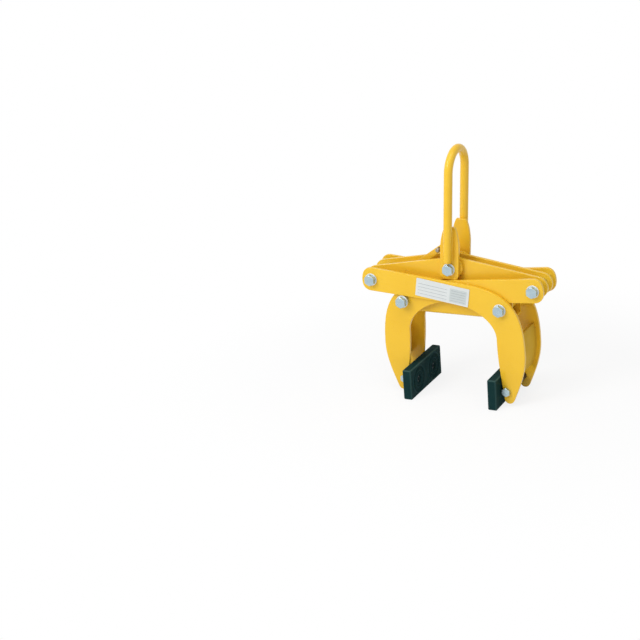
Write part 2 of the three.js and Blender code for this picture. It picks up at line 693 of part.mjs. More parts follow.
// Steel plate in the rubber's pocket, with two ears and the tube that turns on the pad pin
function carrier(padZ, tubeEnd) {
  const frontX = padBackX - carrierThickness;
  const halfZ = carrierHeight / 2;
  let body = box(frontX, padBackX, -carrierLength / 2, carrierLength / 2, padZ - halfZ, padZ + halfZ);
  const earFoot = earHeight / 2;
  const ear = new THREE.Shape([
    point(padBackX - carrierThickness / 2, padZ - earFoot),
    ...arcPoints(point(padPinX, padZ), pivotTubeRadius, -Math.PI / 3, Math.PI / 3, curveSteps),
    point(padBackX - carrierThickness / 2, padZ + earFoot),
  ]);
  for (const y of [-earPitch / 2, earPitch / 2]) {
    body = body.add(slab(ear, y - earThickness / 2, y + earThickness / 2));
  }
  body = body.add(rod(pivotTubeRadius, padPinX, padZ, -tubeEnd, tubeEnd));
  body = body.subtract(rod(bolt12.radius + boreClearance, padPinX, padZ, -tubeEnd - overrun, tubeEnd + overrun));
  for (const y of [-discPitch / 2, discPitch / 2]) {
    body = body.subtract(discX(screwRadius + seatGap, frontX - overrun, padBackX + overrun, y, padZ));
  }
  return body;
}

function padScrew(y, padZ) {
  const headX = padFaceX + screwHeadDepth;
  const head = discX(screwHeadRadius, headX, headX + screwHeadHeight, y, padZ);
  return head.add(discX(screwRadius, headX + screwHeadHeight / 2, padBackX, y, padZ));
}

// A pad is modelled on the right and turned half round for the left
function padSet(side, label, jawPlateY) {
  const group = new THREE.Group();
  if (side < 0) group.rotation.z = Math.PI;
  const padZ = shoulderHeight - padPinDrop;
  group.add(mesh("rubber_pad_" + label, rubberPad(padZ), darkRubber));
  group.add(mesh("pad_carrier_" + label, carrier(padZ, jawPlateY - seatGap), yellowPaint));
  group.add(mesh("pad_screw_" + label + "_a", padScrew(-discPitch / 2, padZ), zincSteel));
  group.add(mesh("pad_screw_" + label + "_b", padScrew(discPitch / 2, padZ), zincSteel));
  return group;
}

clamp.add(spreader());
clamp.add(stopRings());
clamp.add(jaw(1, "outer_jaw", outerJawY, outerLinkY + plateThickness, outerLinkY));
clamp.add(labelPlate());
clamp.add(jaw(-1, "inner_jaw", innerJawY, innerLinkY + plateThickness, innerLinkY));
clamp.add(leftLinks());
clamp.add(rightLinks());
clamp.add(latch());
clamp.add(topPivot());
clamp.add(bail());
clamp.add(padSet(1, "right", outerJawY));
clamp.add(padSet(-1, "left", innerJawY));

export default clamp;
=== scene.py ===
# Kerb lifting clamp in yellow powder coat, with zinc plated bolts and rubber gripping pads.
# Sizes are in millimetres, +X to the right claw, -Y to the front, +Z up.
import json
from math import acos, atan2, cos, pi, radians, sin, sqrt, tan
import bmesh
import bpy
from mathutils import Matrix, Vector


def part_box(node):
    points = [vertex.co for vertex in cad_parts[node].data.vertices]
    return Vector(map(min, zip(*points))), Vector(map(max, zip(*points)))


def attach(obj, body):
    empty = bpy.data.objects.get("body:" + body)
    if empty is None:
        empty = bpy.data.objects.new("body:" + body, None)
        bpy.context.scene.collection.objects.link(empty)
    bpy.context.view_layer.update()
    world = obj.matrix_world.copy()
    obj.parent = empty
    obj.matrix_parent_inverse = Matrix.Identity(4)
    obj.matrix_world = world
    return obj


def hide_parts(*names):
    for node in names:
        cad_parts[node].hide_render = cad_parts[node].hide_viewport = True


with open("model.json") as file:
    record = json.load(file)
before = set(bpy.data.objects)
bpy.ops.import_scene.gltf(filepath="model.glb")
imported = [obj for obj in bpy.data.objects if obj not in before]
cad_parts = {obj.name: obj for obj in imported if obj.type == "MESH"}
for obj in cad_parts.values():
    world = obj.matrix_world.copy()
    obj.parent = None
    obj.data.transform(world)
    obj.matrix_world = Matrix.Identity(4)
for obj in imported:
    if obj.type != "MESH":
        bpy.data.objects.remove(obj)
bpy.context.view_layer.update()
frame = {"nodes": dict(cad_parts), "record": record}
mm = 0.001
print("frame loaded:", len(frame["nodes"]), "nodes")

# Pivots, as the frame has them
shoulderX, shoulderZ = 122, 237.5
armX, armZ = 200, 286.5
topX, topZ = -6, 320.5
padX, padZ = 131.5, 37.5

# Near and far face of each pair of plates, from the middle outwards
rightLinkLayer = (12, 20)
leftLinkLayer = (21, 29)
cheekLayer = (30.5, 38.5)
innerJawLayer = (39.5, 47.5)
outerJawLayer = (49, 57)

seatGap = 0.3  # between pieces that seat on each other
boreClearance = 0.3
bolt16 = {"radius": 8, "flats": 24, "headHeight": 10, "nutHeight": 14, "tail": 4, "pitch": 2}
bolt12 = {"radius": 6, "flats": 19, "headHeight": 7.5, "nutHeight": 11, "tail": 3, "pitch": 1.75}
bore16, bore12 = bolt16["radius"] + boreClearance, bolt12["radius"] + boreClearance

bodies = frame["record"]["behaviour"]["bodies"]
bodyOfNode = {member: body for body, members in bodies.items() for member in members}
noiseSpan = {"From Min": 0.3, "From Max": 0.7}  # where most of a noise pattern lies


# Finishes. Each pattern reads Object coordinates, in metres.
def addNode(material, kind, inputs=None, **settings):
    node = material.node_tree.nodes.new(kind)
    for name, value in settings.items():
        setattr(node, name, value)
    for name, value in (inputs or {}).items():
        node.inputs[name].default_value = value
    return node


def join(source, output, target, entry):
    source.id_data.links.new(source.outputs[output], target.inputs[entry])


def newFinish(name, slotName, look, **changes):
    look = dict(look, **changes)
    material = bpy.data.materials.new(name)
    material.use_nodes = True
    shader = material.node_tree.nodes["Principled BSDF"]
    for entry, key in (
        ("Metallic", "metallic"), ("Specular IOR Level", "specular"),
        ("Coat Weight", "coat"), ("Coat Roughness", "coatRoughness"),
    ):
        shader.inputs[entry].default_value = look[key]
    place = addNode(material, "ShaderNodeTexCoord")
    stretch = addNode(material, "ShaderNodeMapping", {"Scale": look["stretch"]})
    join(place, "Object", stretch, "Vector")
    noises = {}
    for pattern, detail in (("cloud", 4), ("speck", 2), ("smear", 5), ("ripple", 1), ("grain", 2)):
        noise = addNode(material, "ShaderNodeTexNoise", {"Scale": look[pattern][0], "Detail": detail})
        join(stretch, "Vector", noise, "Vector")
        noises[pattern] = noise
    # broad clouds and fine specks of colour
    first, second, speck = ((*colour, 1) for colour in look["colours"])
    tint = addNode(material, "ShaderNodeMix", {"A": first, "B": second}, data_type="RGBA")
    fleck = addNode(material, "ShaderNodeMix", {"B": speck}, data_type="RGBA")
    speckSpan = dict(zip(noiseSpan, look["speck"][1:]))
    for pattern, span, mix in (("cloud", noiseSpan, tint), ("speck", speckSpan, fleck)):
        ramp = addNode(material, "ShaderNodeMapRange", span)
        join(noises[pattern], "Fac", ramp, "Value")
        join(ramp, "Result", mix, 0)
    join(tint, 2, fleck, 6)
    join(fleck, 2, shader, "Base Color")
    # gloss that varies a little
    glossSpan = dict(zip(("To Min", "To Max"), look["smear"][1:]))
    gloss = addNode(material, "ShaderNodeMapRange", {**noiseSpan, **glossSpan})
    join(noises["smear"], "Fac", gloss, "Value")
    join(gloss, "Result", shader, "Roughness")
    # relief: fine grain over a softer ripple
    below = None
    for pattern, depth in (("ripple", 0.0005), ("grain", 0.0002)):
        bump = addNode(material, "ShaderNodeBump", {"Strength": look[pattern][1], "Distance": depth})
        join(noises[pattern], "Fac", bump, "Height")
        if below:
            join(below, "Normal", bump, "Normal")
        below = bump
    join(below, "Normal", shader, "Normal")
    return material


# Colours: two for the clouds, one for the specks. Patterns: scale, then the specks' span, the smears'
# roughness or the strength of the relief.
powderCoatLook = {
    "colours": ((0.88, 0.545, 0.034), (0.85, 0.510, 0.028), (0.91, 0.59, 0.05)),
    "metallic": 0, "specular": 0.11, "coat": 0.4, "coatRoughness": 0.15, "stretch": (1, 1, 1),
    "cloud": (14,), "speck": (700, 0.62, 0.8), "smear": (30, 0.24, 0.36),
    "ripple": (420, 0.12), "grain": (2400, 0.06),
}
zincLook = {
    "colours": ((0.50, 0.63, 0.68), (0.38, 0.50, 0.58), (0.70, 0.76, 0.70)),
    "metallic": 0.85, "specular": 0.5, "coat": 0, "coatRoughness": 0.1, "stretch": (1, 1, 1),
    "cloud": (60,), "speck": (900, 0.6, 0.75), "smear": (120, 0.26, 0.42),
    "ripple": (500, 0.08), "grain": (3500, 0.12),
}
pinSteelLook = dict(
    zincLook, colours=((0.42, 0.38, 0.32), (0.32, 0.28, 0.23), (0.5, 0.47, 0.42)),
    stretch=(1, 0.15, 1), smear=(120, 0.3, 0.5),
)
rubberLook = {
    "colours": ((0.006, 0.027, 0.027), (0.009, 0.037, 0.038), (0.028, 0.070, 0.072)),
    "metallic": 0, "specular": 0.04, "coat": 0, "coatRoughness": 0.3, "stretch": (1, 1, 1),
    "cloud": (22,), "speck": (500, 0.63, 0.82), "smear": (40, 0.62, 0.85),
    "ripple": (260, 0.3), "grain": (1500, 0.5),
}
labelFilmLook = {
    "colours": ((0.70, 0.73, 0.72), (0.66, 0.69, 0.68), (0.62, 0.66, 0.66)),
    "metallic": 0, "specular": 0.5, "coat": 0.4, "coatRoughness": 0.1, "stretch": (1, 1, 1),
    "cloud": (25,), "speck": (800, 0.6, 0.8), "smear": (60, 0.3, 0.42),
    "ripple": (200, 0.05), "grain": (1800, 0.04),
}
powderCoat = newFinish("powderCoatYellow", "yellow_paint", powderCoatLook)
# the yellow powder coat made darker and duller for the claw webs: painted shade of their recess between the
# plates
shadedWebCoat = newFinish(
    "powderCoatDusty", "yellow_paint", powderCoatLook, specular=0.05, coat=0, smear=(30, 0.45, 0.6),
    colours=((0.70, 0.43, 0.034), (0.60, 0.36, 0.030), (0.52, 0.33, 0.05)),
)
zinc = newFinish("zincPlate", "zinc_steel", zincLook)
pinSteel = newFinish("pinSteel", "zinc_steel", pinSteelLook)
rubber = newFinish("padRubber", "dark_rubber", rubberLook)
labelFilm = newFinish("labelFilm", "label_white", labelFilmLook)
labelInk = newFinish(
    "labelInk", "label_white", labelFilmLook,
    colours=((0.36, 0.39, 0.41), (0.30, 0.33, 0.35), (0.55, 0.58, 0.60)),
)
labelTint = newFinish(
    "labelTint", "label_white", labelFilmLook,
    colours=((0.57, 0.62, 0.61), (0.53, 0.58, 0.57), (0.62, 0.65, 0.64)),
)
# Rubbed edges with a painted highlight on them, full on edges facing up and half on the others, where a
# piece carries the attribute for it
rubbedAndHighlightColour = (0.040, 0.085, 0.080, 1)
wearAndHighlightMask = addNode(rubber, "ShaderNodeAttribute", attribute_name="wear")
rubbedAndHighlightMix = addNode(rubber, "ShaderNodeMix", {"B": rubbedAndHighlightColour}, data_type="RGBA")
rubberShader = rubber.node_tree.nodes["Principled BSDF"]
plainColour = rubberShader.inputs["Base Color"].links[0].from_node
join(wearAndHighlightMask, "Fac", rubbedAndHighlightMix, 0)
join(plainColour, 2, rubbedAndHighlightMix, 6)
join(rubbedAndHighlightMix, 2, rubberShader, "Base Color")
# lighter rubber for the raised ridges on the pad face: painted highlight on them
wornRubber = newFinish(
    "wornRubber", "dark_rubber", rubberLook,
    colours=((0.020, 0.060, 0.065), (0.014, 0.046, 0.050), rubberLook["colours"][2]),
)
# paler copy of the zinc plate for the washers: painted highlight
brightZinc = newFinish(
    "brightZinc", "zinc_steel", zincLook, metallic=0.5, smear=(120, 0.35, 0.5),
    colours=((0.80, 0.83, 0.82), (0.70, 0.74, 0.75), zincLook["colours"][2]),
)
screwSteel = newFinish(
    "screwSteel", "zinc_steel", pinSteelLook, metallic=0, specular=0.15,
    colours=((0.012, 0.030, 0.032), (0.010, 0.026, 0.028), (0.02, 0.05, 0.05)),
)
# dark brown for the pad's ears and tube in place of their yellow paint: painted shade of the gap between the
# claw plates
padSteel = newFinish(
    "padSteel", "zinc_steel", pinSteelLook, stretch=(1, 1, 1), metallic=0, specular=0.3,
    colours=((0.055, 0.032, 0.022), (0.035, 0.024, 0.018), (0.12, 0.07, 0.04)),
)
print("finishes made")


# Shop tools
def choose(*pieces):
    if bpy.context.object and bpy.context.object.mode != "OBJECT":
        bpy.ops.object.mode_set(mode="OBJECT")
    bpy.ops.object.select_all(action="DESELECT")
    for piece in pieces:
        piece.select_set(True)
    bpy.context.view_layer.objects.active = pieces[0]


def newPiece(add, **settings):
    bpy.ops.object.select_all(action="DESELECT")
    add(**settings)
    return bpy.context.object


def setPlace(piece):
    choose(piece)
    bpy.ops.object.transform_apply(location=True, rotation=True, scale=True)


def useModifier(piece, kind, **settings):
    choose(piece)
    bpy.ops.object.modifier_add(type=kind)
    modifier = piece.modifiers[-1]
    for name, value in settings.items():
        setattr(modifier, name, value)
    bpy.ops.object.modifier_apply(modifier=modifier.name)


def cutAway(piece, cutter, operation="DIFFERENCE"):
    useModifier(piece, "BOOLEAN", object=cutter, operation=operation, solver="EXACT")
    bpy.data.objects.remove(cutter)


def weldVertices(piece, gap=0.002):
    choose(piece)
    bpy.ops.object.mode_set(mode="EDIT")
    bpy.ops.mesh.select_all(action="SELECT")
    bpy.ops.mesh.remove_doubles(threshold=gap * mm)
    bpy.ops.mesh.normals_make_consistent(inside=False)
    bpy.ops.object.mode_set(mode="OBJECT")


def madeMesh(piece):
    choose(piece)
    bpy.ops.object.convert(target="MESH")
    piece = bpy.context.object
    setPlace(piece)
    weldVertices(piece)
    return piece


def bevelEdges(piece, width, segments=2, angle=30):
    useModifier(
        piece, "BEVEL", width=width * mm, segments=segments, limit_method="ANGLE",
        angle_limit=radians(angle), use_clamp_overlap=True,
    )


def smoothFaces(piece, angle=40, isFlatSided=True):
    choose(piece)
    bpy.ops.object.shade_smooth_by_angle(angle=radians(angle))
    if isFlatSided:
        useModifier(piece, "WEIGHTED_NORMAL", mode="FACE_AREA", weight=80, keep_sharp=True)


def joined(pieces):
    choose(*pieces)
    bpy.ops.object.join()
    return bpy.context.object


def fitPiece(piece, name, finish, nodes, body=None):
    piece.name = name
    piece.data.name = name
    piece.data.materials.clear()
    piece.data.materials.append(finish)
    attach(piece, body or bodyOfNode[nodes[0]])
    if nodes:
        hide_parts(*nodes)


# Outlines of flat plates: knots of (point, handle before, handle after) in X and Z
def arcPoint(centre, radius, angle):
    return centre + Vector((cos(angle), sin(angle))) * radius


def arcKnots(centre, radius, startAngle, endAngle, parts=2):
    step = (endAngle - startAngle) / parts
    reach = 4 / 3 * tan(step / 4) * radius
    knots = []
    for i in range(parts + 1):
        angle = startAngle + step * i
        place = arcPoint(centre, radius, angle)
        along = Vector((-sin(angle), cos(angle))) * reach
        before = place - along if i > 0 else None
        after = place + along if i < parts else None
        knots.append([place, before, after])
    return knots


def holeKnots(x, z, radius):
    knots = arcKnots(Vector((x, z)), radius, 0, 2 * pi, 4)
    knots[0][1] = knots[-1][1]
    return knots[:-1]


def roundedKnots(corners):
    knots = []
    for i, (x, z, radius) in enumerate(corners):
        corner = Vector((x, z))
        if radius == 0:
            knots.append([corner, None, None])
            continue
        before = Vector(corners[i - 1][:2])
        after = Vector(corners[(i + 1) % len(corners)][:2])
        toBefore = (before - corner).normalized()
        toAfter = (after - corner).normalized()
        turn = pi - toBefore.angle(toAfter)
        setback = radius * tan(turn / 2)
        handle = 4 / 3 * tan(turn / 4) * radius
        start = corner + toBefore * setback
        end = corner + toAfter * setback
        knots.append([start, None, start - toBefore * handle])
        knots.append([end, end - toAfter * handle, None])
    return knots


def placedKnots(knots, x=0, z=0, lean=0, side=1):
    turn = Matrix.Rotation(-radians(lean), 2)
    return [[p and turn @ Vector((side * p[0], p[1])) + Vector((x, z)) for p in knot] for knot in knots]


def cutPlate(outline, holes, nearY, farY, edge=0.8, steps=14, axis="Y"):
    turn = (pi / 2, 0, 0) if axis == "Y" else (pi / 2, 0, pi / 2)
    middle = (nearY + farY) / 2 * mm
    place = (0, middle, 0) if axis == "Y" else (middle, 0, 0)
    plate = newPiece(bpy.ops.curve.primitive_bezier_curve_add, location=place, rotation=turn)
    curve = plate.data
    curve.dimensions = "2D"
    curve.fill_mode = "BOTH"
    curve.splines.remove(curve.splines[0])
    for knots in [outline, *holes]:
        spline = curve.splines.new("BEZIER")
        spline.bezier_points.add(len(knots) - 1)
        spline.use_cyclic_u = True
        spline.resolution_u = steps
        for i, bezier in enumerate(spline.bezier_points):
            here, before, after = knots[i]
            before = before or here.lerp(knots[i - 1][0], 1 / 3)
            after = after or here.lerp(knots[(i + 1) % len(knots)][0], 1 / 3)
            bezier.handle_left_type = bezier.handle_right_type = "FREE"
            bezier.co = here.to_3d() * mm
            bezier.handle_left = before.to_3d() * mm
            bezier.handle_right = after.to_3d() * mm
    curve.resolution_u = steps
    curve.extrude = ((farY - nearY) / 2 - edge) * mm
    curve.bevel_depth = edge * mm
    curve.bevel_resolution = 2
    curve.offset = -edge * mm
    return madeMesh(plate)


# A plate at the front and its twin at the rear
def platePair(name, node, outline, holes, layer, edge):
    near, far = layer
    for label, start, end in (("Front", -far, -near), ("Rear", near, far)):
        plate = cutPlate(outline, holes, start, end, edge)
        smoothFaces(plate)
        fitPiece(plate, name.format(label), powderCoat, [node.format(label.lower())])


# Turned pieces: a closed section of (radius, place along the axis)
def turned(section, x=0, y=0, z=0, axis="Y", steps=56):
    piece = newPiece(
        bpy.ops.mesh.primitive_circle_add, vertices=len(section), radius=mm, fill_type="NOTHING",
    )
    for vertex, (radius, along) in zip(piece.data.vertices, section):
        place = Vector((x + radius, along, z)) if axis == "Y" else Vector((along, y + radius, z))
        vertex.co = place * mm
    bpy.ops.object.mode_set(mode="EDIT")
    editing = bmesh.from_edit_mesh(piece.data)
    editing.verts.ensure_lookup_table()
    for edge in editing.edges:
        onAxis = all(section[vertex.index][0] == 0 for vertex in edge.verts)
        edge.select_set(onAxis)
    editing.select_flush_mode()
    if any(edge.select for edge in editing.edges):
        bpy.ops.mesh.delete(type="EDGE")
    bpy.ops.mesh.select_all(action="SELECT")
    bpy.ops.mesh.spin(
        steps=steps, angle=2 * pi, center=Vector((x, y, z)) * mm,
        axis=(0, 1, 0) if axis == "Y" else (1, 0, 0), use_auto_merge=True,
    )
    bpy.ops.object.mode_set(mode="OBJECT")
    weldVertices(piece)
    return piece


# Sections of rings and rods, with chamfered edges
def ringSection(outer, inner, near, far, edge=0.5):
    return [
        (inner + edge, near), (outer - edge, near), (outer, near + edge), (outer, far - edge),
        (outer - edge, far), (inner + edge, far), (inner, far - edge), (inner, near + edge),
    ]


def rodSection(radius, near, far, edge=0.8):
    return [
        (0, near), (radius - edge, near), (radius, near + edge),
        (radius, far - edge), (radius - edge, far), (0, far),
    ]


# A round bar along a row of places, with a share of its radius at each
def pipeAlong(places, shares, radius, resolution, angle):
    pipe = newPiece(bpy.ops.curve.primitive_nurbs_path_add)
    curve = pipe.data
    curve.splines.remove(curve.splines[0])
    spline = curve.splines.new("POLY")
    spline.points.add(len(places) - 1)
    for point, place, share in zip(spline.points, places, shares):
        point.co = (place * mm).to_4d()
        point.radius = share
    curve.bevel_depth = radius * mm
    curve.bevel_resolution = resolution
    curve.use_fill_caps = True
    pipe = madeMesh(pipe)
    smoothFaces(pipe, angle, False)
    return pipe


# A weld bead along a path, laid in overlapping drops
beadLook = {"pitch": 2.6, "dropSteps": 5, "fewestSteps": 8, "waist": 0.82, "swell": 0.2, "tipFloor": 0.04}


def weldBead(path, radius):
    look = beadLook
    lengths = [0]
    for start, end in zip(path, path[1:]):
        lengths.append(lengths[-1] + (end - start).length)
    total = lengths[-1]
    count = max(look["fewestSteps"], round(total / look["pitch"] * look["dropSteps"]))
    places, shares = [], []
    stretch = 0
    for i in range(count + 1):
        travelled = total * i / count
        while stretch < len(path) - 2 and lengths[stretch + 1] < travelled:
            stretch += 1
        share = (travelled - lengths[stretch]) / (lengths[stretch + 1] - lengths[stretch])
        places.append(path[stretch].lerp(path[stretch + 1], share))
        swell = travelled / look["pitch"] % 1
        ends = min(1, travelled / radius, (total - travelled) / radius)
        rounding = sqrt(max(look["tipFloor"], 1 - (1 - ends) ** 2))
        shares.append((look["waist"] + look["swell"] * sqrt(swell)) * rounding)
    return pipeAlong(places, shares, radius, 2, 70)


print("tools ready")

# Jaws
jawLook = {
    "armEndRadius": 28.5, "armEndReach": 24, "armEndShare": 0.66,
    "crown": (37, 54.5), "clawWide": (179, -110), "clawStraight": (112, -73), "throat": (10, 5.6),
    "tip": (138, -218), "tipRadius": 12, "tipAngles": (-22, -173),
    "crownShare": 0.72, "flankShare": 0.36, "innerShare": 0.34, "throatAlong": 0.51, "throatDown": 0.5,
    "webInset": 11, "webThickness": 8, "webTop": -58, "webBottom": -172, "webEdge": 0.6,
    "webSteps": (60, 40), "edge": 0.9, "beadRadius": 2.6, "beadLift": 0.4,
}


def tangentPoint(centre, radius, target, side):
    reach = target - centre
    return arcPoint(centre, radius, atan2(reach.y, reach.x) + side * acos(radius / reach.length))


def jawKnots(look):
    armPin = Vector((-armX, armZ - shoulderZ))
    marks = ("crown", "clawWide", "clawStraight", "throat")
    crown, wide, straight, throat = (Vector(look[mark]) for mark in marks)
    radius = look["armEndRadius"]
    armTop = tangentPoint(armPin, radius, crown, 1)
    armBottom = tangentPoint(armPin, radius, throat, -1)
    alongTop = (crown - armTop).normalized()
    alongBottom = (throat - armBottom).normalized()
    start, end = (radians(angle) for angle in look["tipAngles"])
    tip = arcKnots(Vector(look["tip"]), look["tipRadius"], start, end)
    fall = wide.y - tip[0][0].y
    rise = straight.y - tip[-1][0].y
    intoTip = Vector((sin(start), -cos(start)))
    outOfTip = Vector((sin(end), -cos(end)))
    tip[0][1] = tip[0][0] - intoTip * fall * look["flankShare"]
    tip[-1][2] = tip[-1][0] + outOfTip * rise * look["innerShare"]
    crownFall = crown.y - wide.y
    throatFall = throat.y - straight.y
    axis = (alongTop + alongBottom).normalized()
    endMiddle = armPin - axis * look["armEndReach"]
    run = look["armEndReach"] * look["armEndShare"]
    upward = Vector((-axis.y, axis.x)) * radius * look["armEndShare"]
    intoWide = wide + Vector((0, crownFall * look["crownShare"]))
    return [
        [crown, None, crown + alongTop * (wide.x - crown.x) * look["crownShare"]],
        [wide, intoWide, wide - Vector((0, fall * look["flankShare"]))],
        *tip,
        [straight, straight - Vector((0, rise * look["innerShare"])),
         straight + Vector((0, throatFall * look["throatDown"]))],
        [throat, throat + alongBottom * (straight.x - throat.x) * look["throatAlong"], None],
        [armBottom, None, armBottom - alongBottom * run],
        [endMiddle, endMiddle - upward, endMiddle + upward],
        [armTop, armTop - alongTop * run, None],
    ]


def curveBetween(start, end, count):
    points = []
    for i in range(count + 1):
        t = i / count
        s = 1 - t
        points.append(
            start[0] * s ** 3 + start[2] * 3 * s * s * t + end[1] * 3 * s * t * t + end[0] * t ** 3
        )
    return points


def webPaths(look):
    knots = jawKnots(look)
    crownSteps, flankSteps = look["webSteps"]
    edge = curveBetween(knots[0], knots[1], crownSteps) + curveBetween(knots[1], knots[2], flankSteps)[1:]
    edge = [p for p in edge if look["webBottom"] < p.y < look["webTop"]]
    outer, inner = [], []
    for i, p in enumerate(edge):
        along = (edge[min(i + 1, len(edge) - 1)] - edge[max(i - 1, 0)]).normalized()
        inward = Vector((along.y, -along.x))
        outer.append(p + inward * look["webInset"])
        inner.append(p + inward * (look["webInset"] + look["webThickness"]))
    return outer, inner


def makeJaw(name, node, side, layer):
    look = jawLook
    outline = placedKnots(jawKnots(look), 0, shoulderZ, 0, side)
    holes = [
        holeKnots(-side * armX, armZ, bore16),
        holeKnots(side * shoulderX, shoulderZ, bore16),
        holeKnots(side * padX, padZ, bore12),
    ]
    platePair(name + "{}Plate", node + "_{}_plate", outline, holes, layer, look["edge"])
    outer, inner = webPaths(look)
    strip = placedKnots([[p, None, None] for p in outer + inner[::-1]], 0, shoulderZ, 0, side)
    webEnd = layer[0] - seatGap
    web = cutPlate(strip, [], -webEnd, webEnd, look["webEdge"], 1)
    smoothFaces(web)
    beads = []
    for path in (outer, inner):
        for y in (look["beadLift"] - webEnd, webEnd - look["beadLift"]):
            trail = [Vector((side * p.x, y, p.y + shoulderZ)) for p in path[2:-2]]
            beads.append(weldBead(trail, look["beadRadius"]))
    # the web wears the darker coat, painted shade
    fitPiece(joined([web, *beads]), name + "Web", shadedWebCoat, [node + "_web"])


makeJaw("outerJaw", "outer_jaw", 1, outerJawLayer)
makeJaw("innerJaw", "inner_jaw", -1, innerJawLayer)
print("jaws made")

# Links
linkLook = {
    "endRadius": 25, "overreach": 4, "edge": 0.9, "openClearance": 0.8, "studReach": 19.5, "studAngle": 106,
}
sleeveRadius = 12
latchPinRadius, studRadius = 5, 4
latchBore = latchPinRadius + boreClearance
latchPivot = Vector((-118, 300.871))
studPlace = arcPoint(Vector((topX, topZ)), linkLook["studReach"], radians(linkLook["studAngle"]))


def makeLinks(name, node, side, layer, topHole, extra):
    outer = Vector((side * armX, armZ))
    top = Vector((topX, topZ))
    slope = atan2(topZ - armZ, abs(outer.x - topX)) * (1 if side < 0 else -1)
    past = top - Vector((cos(slope), sin(slope))) * side * linkLook["overreach"]
    leftEnd, rightEnd = (outer, past) if side < 0 else (past, outer)
    upright = pi / 2
    radius = linkLook["endRadius"]
    outline = [
        *arcKnots(rightEnd, radius, slope - upright, slope + upright),
        *arcKnots(leftEnd, radius, slope + upright, slope + 3 * upright),
    ]
    holes = [holeKnots(*outer, bore16), holeKnots(*top, topHole), extra]
    platePair(name + "{}", node + "_{}", outline, holes, layer, linkLook["edge"])


makeLinks(
    "leftLink", "left_link", -1, leftLinkLayer, sleeveRadius + boreClearance,
    holeKnots(*latchPivot, latchBore),
)
makeLinks(
    "rightLink", "right_link", 1, rightLinkLayer, sleeveRadius + linkLook["openClearance"],
    holeKnots(*studPlace, studRadius + boreClearance),
)
print("links made")

# Spreader beam, its bushes and the weld rings round them
beamLook = {
    "side": 60, "wall": 5, "cornerRadius": 8, "middleZ": 234.5, "halfLength": 142, "edge": 0.7,
    "bushRadius": 15, "bushEdge": 1, "beadRadius": 2.8, "beadShare": 0.4, "ringSteps": 48,
}


def boxCorners(left, right, low, high, radius):
    return [(left, low, radius), (right, low, radius), (right, high, radius), (left, high, radius)]


def squareKnots(half, radius):
    z = beamLook["middleZ"]
    return roundedKnots(boxCorners(-half, half, z - half, z + half, radius))


def makeBeam():
    look = beamLook
    half = look["side"] / 2
    outline = squareKnots(half, look["cornerRadius"])
    bore = squareKnots(half - look["wall"], look["cornerRadius"] - look["wall"])
    beam = cutPlate(outline, [bore], -look["halfLength"], look["halfLength"], look["edge"], 8, "X")
    for side in (-1, 1):
        cutter = rodSection(look["bushRadius"] + seatGap, -look["side"], look["side"])
        cutAway(beam, turned(cutter, side * shoulderX, 0, shoulderZ))
    smoothFaces(beam)
    beads = []
    radius = look["bushRadius"] + look["beadRadius"] * look["beadShare"]
    for side in (-1, 1):
        for y in (-half, half):
            ring = []
            for i in range(look["ringSteps"] + 1):
                angle = 2 * pi * i / look["ringSteps"]
                ring.append(Vector((
                    side * shoulderX + radius * cos(angle), y, shoulderZ + radius * sin(angle),
                )))
            beads.append(weldBead(ring, look["beadRadius"]))
    fitPiece(joined([beam, *beads]), "spreaderBeam", powderCoat, ["spreader_beam"])
    bushEnd = innerJawLayer[0] - seatGap
    for side, label in ((-1, "left"), (1, "right")):
        section = ringSection(look["bushRadius"], bore16, -bushEnd, bushEnd, look["bushEdge"])
        bush = turned(section, side * shoulderX, 0, shoulderZ)
        smoothFaces(bush)
        fitPiece(bush, "shoulderBush" + label.title(), powderCoat, ["shoulder_bush_" + label])


makeBeam()
print("beam made")

# Bolts, nuts and washers
boltLook = {
    "turnedShare": 0.95, "turnedSlope": 0.55, "edge": 0.45, "shankEdge": 0.6, "shankInHead": 1,
    "threadDepth": 0.9, "threadInNut": 3, "tailRun": 0.8, "tailTaper": 1.4, "boreOver": 5,
    "flange": 3, "washerRadius": 15, "flangeEdge": 0.8, "flangeNeck": 12.6, "flangeSink": 0.4,
}


# Hexagon heads and nuts, with the corners turned off at the outer end
def hexagonBlank(size, height, x, z, seatY, outward):
    look, flats = boltLook, size["flats"]
    blank = newPiece(
        bpy.ops.mesh.primitive_cylinder_add, vertices=6, radius=flats / sqrt(3) * mm, depth=height * mm,
    )
    end = flats / 2 * look["turnedShare"]
    spread = height * 2 / look["turnedSlope"]
    cone = newPiece(
        bpy.ops.mesh.primitive_cone_add, vertices=72, radius1=(end + spread) * mm, radius2=end * mm,
        depth=height * 2 * mm, location=(0, 0, -height / 2 * mm),
    )
    cutAway(blank, cone, "INTERSECT")
    bevelEdges(blank, look["edge"], 2, 35)
    middle = seatY + outward * height / 2
    blank.location = Vector((x, middle, z)) * mm
    blank.rotation_euler = (radians(-90 * outward), 0, 0)
    setPlace(blank)
    return blank


def shankSection(size, near, far, threadFrom):
    look, radius, pitch = boltLook, size["radius"], size["pitch"]
    section = [(0, near), (radius - look["shankEdge"], near), (radius, near + look["shankEdge"])]
    along = threadFrom
    while along + pitch < far - look["tailRun"]:
        section += [(radius, along), (radius - look["threadDepth"], along + pitch / 2)]
        along += pitch
    section += [(radius, along), (radius - look["tailTaper"], far), (0, far)]
    return section


